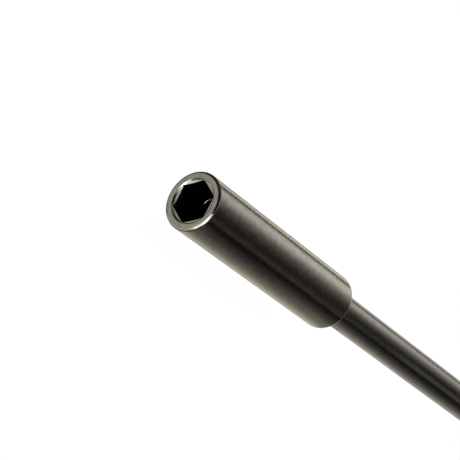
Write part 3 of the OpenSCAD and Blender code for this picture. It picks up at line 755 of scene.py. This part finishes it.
# The grip ring: a bright turned aluminium ring with one groove, pressed onto the core in front of the
# sleeve. It stops the sleeve from creeping forward.
ring_low, ring_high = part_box("grip_ring")
sleeve_at = -ring_low.x / mm
ring_r = ring_high.z / mm
ring_groove_w, ring_groove_depth, seat_gap = 1.0, 0.35, 0.02
groove_at = (ring_at + sleeve_at - ring_groove_w) / 2
ring_corners = np.array([
    (ring_at, core_r + seat_gap),
    (ring_at, ring_r - small_chamfer),
    (ring_at + small_chamfer, ring_r),
    (groove_at, ring_r),
    (groove_at, ring_r - ring_groove_depth),
    (groove_at + ring_groove_w, ring_r - ring_groove_depth),
    (groove_at + ring_groove_w, ring_r),
    (sleeve_at - small_chamfer, ring_r),
    (sleeve_at, ring_r - small_chamfer),
    (sleeve_at, core_r + seat_gap)])[:, None]
ring_cuts = (0.1, 0.08, 0.08, 0.08, 0.1, 0.1, 0.08, 0.08, 0.08, 0.1)
ring_outline, ring_edge = round_corners(ring_corners, ring_cuts)
ring = lay_skin("grip_ring_turned", turn_round(ring_outline, turn), True, edge=0.4 * ring_edge[:, None])

# Clear anodised over a turned surface: bright satin aluminium with rings. The 0.1 mm feed is drawn three
# times as coarse, to show at all.
bright_aluminium = turned_metal(
    "clear_anodised_aluminium", dark="#bcbdc0", light="#cdced0", worn="#dcdde0", painted_shade_colour="#8c8d90",
    sheen="#ffffff", mottle_mm=6.0, feed_mm=0.3, rings=1.2, grain_mm=0.4, rough=(0.24, 0.32),
    relief_mm=0.003)
ring.data.materials.append(bright_aluminium)
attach(ring, "driver")
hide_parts("grip_ring")


# The grip sleeve: a tube of dark rubber with twelve long flutes for the fingers, moulded and stretched over
# the core between the ring and the flange.
def flute_wall(angles, along, count, first, out_r, flute_r, depth, start, end):
    """Radius of the flutes' walls: each is a rod with round ends, its near side a depth inside the rim.

    At an angle a from the rod's middle, its near side is c cos a - sqrt(f^2 - d^2 - c^2 sin^2 a) from the
    axis, where c is the rod's distance from the axis, f its radius, and d how far a row lies past the rod's
    straight part. Where the rod doesn't reach, the wall lies far outside."""
    pitch = 2 * np.pi / count
    off = np.mod(angles - first + pitch / 2, pitch) - pitch / 2
    middle = out_r + flute_r - depth
    past = np.maximum(np.maximum(start - along, along - end), 0)[:, None]
    room = flute_r ** 2 - past ** 2 - (middle * np.sin(off)) ** 2
    return np.where(room > 0, middle * np.cos(off) - np.sqrt(np.maximum(room, 0)), middle + flute_r)


_, sleeve_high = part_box("grip_sleeve")
sleeve_r = sleeve_high.z / mm
flute_n, flute_r, flute_depth, flute_margin, sleeve_chamfer = 12, 2.0, 0.7, 3.0, 0.6
flute_start, flute_end = sleeve_at + flute_margin + flute_r, flange_at - flute_margin - flute_r
sleeve_turn = np.linspace(0, 2 * np.pi, 24 * flute_n, endpoint=False)
sleeve_s = np.concatenate([
    [sleeve_at + sleeve_chamfer],
    np.linspace(flute_start - flute_r, flute_start, 25),
    np.linspace(flute_start, flute_end, 20)[1:-1],
    np.linspace(flute_end, flute_end + flute_r, 25),
    [flange_at - sleeve_chamfer]])
flutes = flute_wall(
    sleeve_turn, sleeve_s, flute_n, np.pi / flute_n, sleeve_r, flute_r, flute_depth, flute_start, flute_end)
sleeve_side = pair_up(sleeve_s[:, None], soft_min(flutes, sleeve_r, blend=0.05))
sleeve_rest = spread((
    (flange_at, sleeve_r - sleeve_chamfer),
    (flange_at, core_r + seat_gap),
    (sleeve_at, core_r + seat_gap),
    (sleeve_at, sleeve_r - sleeve_chamfer)), sleeve_turn)
sleeve_corners = np.concatenate([sleeve_side, sleeve_rest])
sleeve_cuts = (0.15, *np.zeros(len(sleeve_s) - 2), 0.15, 0.15, 0.2, 0.2, 0.15)
sleeve_outline, sleeve_round = round_corners(sleeve_corners, sleeve_cuts)
crest_depth, crest_wear = 0.12, 0.25
crest = crest_wear * np.clip((sleeve_outline[..., 1] - sleeve_r + crest_depth) / crest_depth, 0, 1)
sleeve_edge = np.maximum(crest, 0.4 * sleeve_round[:, None])
sleeve = lay_skin("grip_sleeve_fluted", turn_round(sleeve_outline, sleeve_turn), True, edge=sleeve_edge)

# Moulded rubber: charcoal, matt and a little dusty on its crests, with a fine cast grain. The 0.2 mm grain
# is drawn three times as coarse, to show at all.
rubber = moulded("charcoal_rubber_moulded", dark="#252526", light="#2d2d2e", worn="#4a4a4a",
                 mottle_mm=9.0, grain_mm=0.6, rough=(0.62, 0.8), relief_mm=0.04)
sleeve.data.materials.append(rubber)
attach(sleeve, "driver")
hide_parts("grip_sleeve")

# The size band: a plain amber silicone ring stretched into the flange's groove. Its colour tells the
# socket's size in a row of like tools.
band_low, band_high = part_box("size_band")
band_front, band_back = -band_high.x / mm, -band_low.x / mm
band_r = band_high.z / mm
band_corners = np.array([
    (band_front, band_groove_r + seat_gap),
    (band_front, band_r),
    (band_back, band_r),
    (band_back, band_groove_r + seat_gap)])[:, None]
band_outline, band_edge = round_corners(band_corners, (0.15, 0.35, 0.35, 0.15))
band = lay_skin("size_band_ring", turn_round(band_outline, turn), True, edge=0.3 * band_edge[:, None])

# Silicone rubber: an even warm colour with a dull silky gloss, smooth from a polished mould.
silicone = moulded("amber_silicone", dark="#a9652b", light="#b57033", worn="#c58a52",
                   mottle_mm=7.0, grain_mm=0.5, rough=(0.42, 0.5), relief_mm=0.008)
band.data.materials.append(silicone)
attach(band, "driver")
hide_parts("size_band")

# The swivel cap: a turned aluminium shell with 24 short flutes, anodised gunmetal. It turns on the ball
# bearing inside it, and the palm rests on its rounded end.
cap_low, cap_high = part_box("swivel_cap")
cap_at, cap_end = -cap_high.x / mm, -cap_low.x / mm
cap_r = cap_high.z / mm
cap_round, cap_flute_n, cap_flute_r, cap_flute_depth, cap_flute_lead = 2.2, 24, 0.9, 0.4, 1.6
bearing_hole_r, bearing_end, clip_groove_r, clip_front, clip_back = 6.52, 205.92, 7.02, 199.88, 200.92
head_bore_r, disc_at, disc_hole_r = 4.7, 209.82, 6.22
cap_flute_start = cap_at + cap_flute_lead + cap_flute_r
cap_flute_end = cap_end - cap_round - cap_flute_r
cap_turn = np.linspace(0, 2 * np.pi, 16 * cap_flute_n, endpoint=False)
cap_s = np.concatenate([
    [cap_at + small_chamfer],
    np.linspace(cap_flute_start - cap_flute_r, cap_flute_start, 15),
    np.linspace(cap_flute_start, cap_flute_end, 8)[1:-1],
    np.linspace(cap_flute_end, cap_flute_end + cap_flute_r, 15)])
cap_flutes = flute_wall(
    cap_turn, cap_s, cap_flute_n, 0.0, cap_r, cap_flute_r, cap_flute_depth, cap_flute_start, cap_flute_end)
cap_side = pair_up(cap_s[:, None], soft_min(cap_flutes, cap_r, blend=0.03))
quarter = np.linspace(0, np.pi / 2, 13)[1:]
cap_rest = np.concatenate([
    pair_up(cap_end + cap_round * (np.sin(quarter) - 1), cap_r + cap_round * (np.cos(quarter) - 1)),
    [(cap_end, disc_hole_r), (disc_at, disc_hole_r), (disc_at, head_bore_r), (bearing_end, head_bore_r),
     (bearing_end, bearing_hole_r), (clip_back, bearing_hole_r), (clip_back, clip_groove_r),
     (clip_front, clip_groove_r), (clip_front, bearing_hole_r), (cap_at, bearing_hole_r),
     (cap_at, cap_r - small_chamfer)]])[:, None]
cap_corners = np.concatenate([cap_side, cap_rest + np.zeros((1, len(cap_turn), 1))])
# One cut for each corner: none along the flutes and the round end, and small ones in the bores.
cap_cuts = (0.08, *np.zeros(len(cap_s) + len(quarter) - 1), *np.full(10, 0.1), 0.08)
cap_outline, cap_rounding = round_corners(cap_corners, cap_cuts)
cap = lay_skin(
    "swivel_cap_shell", turn_round(cap_outline, cap_turn), True, edge=0.5 * cap_rounding[:, None])
cap.data.materials.append(gunmetal)
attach(cap, "palm_cap")
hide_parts("swivel_cap")

# The cover disc: a bright aluminium disc with a shallow dish, faced on a lathe and pressed into the cap's
# end over the screw.
disc_low, disc_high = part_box("cap_disc")
disc_front, disc_back = -disc_high.x / mm, -disc_low.x / mm
disc_r = disc_high.z / mm
disc_rim, disc_dish = 1.2, 0.4
disc_corners = np.array([
    (disc_front, 0),
    (disc_front, disc_r),
    (disc_back, disc_r),
    (disc_back, disc_r - disc_rim),
    (disc_back - disc_dish, disc_r - disc_rim - disc_dish),
    (disc_back - disc_dish, 0)])[:, None]
disc_outline, disc_edge = round_corners(disc_corners, (0, 0.1, 0.12, 0.1, 0.12, 0))
disc = lay_skin("cap_disc_faced", turn_round(disc_outline, turn), False, edge=0.4 * disc_edge[:, None])
disc.data.materials.append(bright_aluminium)
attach(disc, "palm_cap")
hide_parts("cap_disc")

# The bearing: ground rings, polished balls, a machined brass cage and two pressed steel shields, held in
# the cap by a circlip. A screw and a washer hold it to the handle. All of these lie inside the cap, so they
# keep their CAD solids under real finishes.

# Grinding leaves fine rings and a bright gloss, polishing a near mirror, turning clear rings in the brass,
# and pressing an even, dull grey. The marks are drawn about three times as coarse, to show.
bearing_steel = turned_metal(
    "bearing_steel_ground", dark="#b9babb", light="#c8c9ca", worn="#d8d8d9", painted_shade_colour="#8a8a8b",
    sheen="#ffffff", mottle_mm=4.0, feed_mm=0.2, rings=0.6, grain_mm=0.3, rough=(0.14, 0.2),
    relief_mm=0.001)
ball_steel = turned_metal(
    "bearing_steel_polished", dark="#cbcccd", light="#d2d3d4", worn="#dededf", painted_shade_colour="#8a8a8b",
    sheen="#ffffff", mottle_mm=2.0, feed_mm=1.0, rings=0.0, grain_mm=0.5, rough=(0.05, 0.08),
    relief_mm=0.0003)
cage_brass = turned_metal(
    "brass_machined", dark="#b08f4c", light="#c2a25c", worn="#d6bb7c", painted_shade_colour="#7a6234",
    sheen="#fff3d6", mottle_mm=3.0, feed_mm=0.25, rings=0.8, grain_mm=0.3, rough=(0.24, 0.32),
    relief_mm=0.002)
shield_steel = turned_metal(
    "sheet_steel_pressed", dark="#9fa0a2", light="#adaeb0", worn="#c2c3c5", painted_shade_colour="#7a7a7c",
    sheen="#ffffff", mottle_mm=3.0, feed_mm=0.6, rings=0.2, grain_mm=0.3, rough=(0.3, 0.38),
    relief_mm=0.002)
for names, metal in (
        (("bearing_outer_ring", "bearing_inner_ring", "screw_washer"), bearing_steel),
        (("bearing_balls",), ball_steel),
        (("bearing_cage",), cage_brass),
        (("bearing_front_shield", "bearing_rear_shield"), shield_steel),
        (("bearing_circlip", "cap_screw"), screw_steel)):
    for name in names:
        for slot in nodes[name].material_slots:
            slot.material = metal
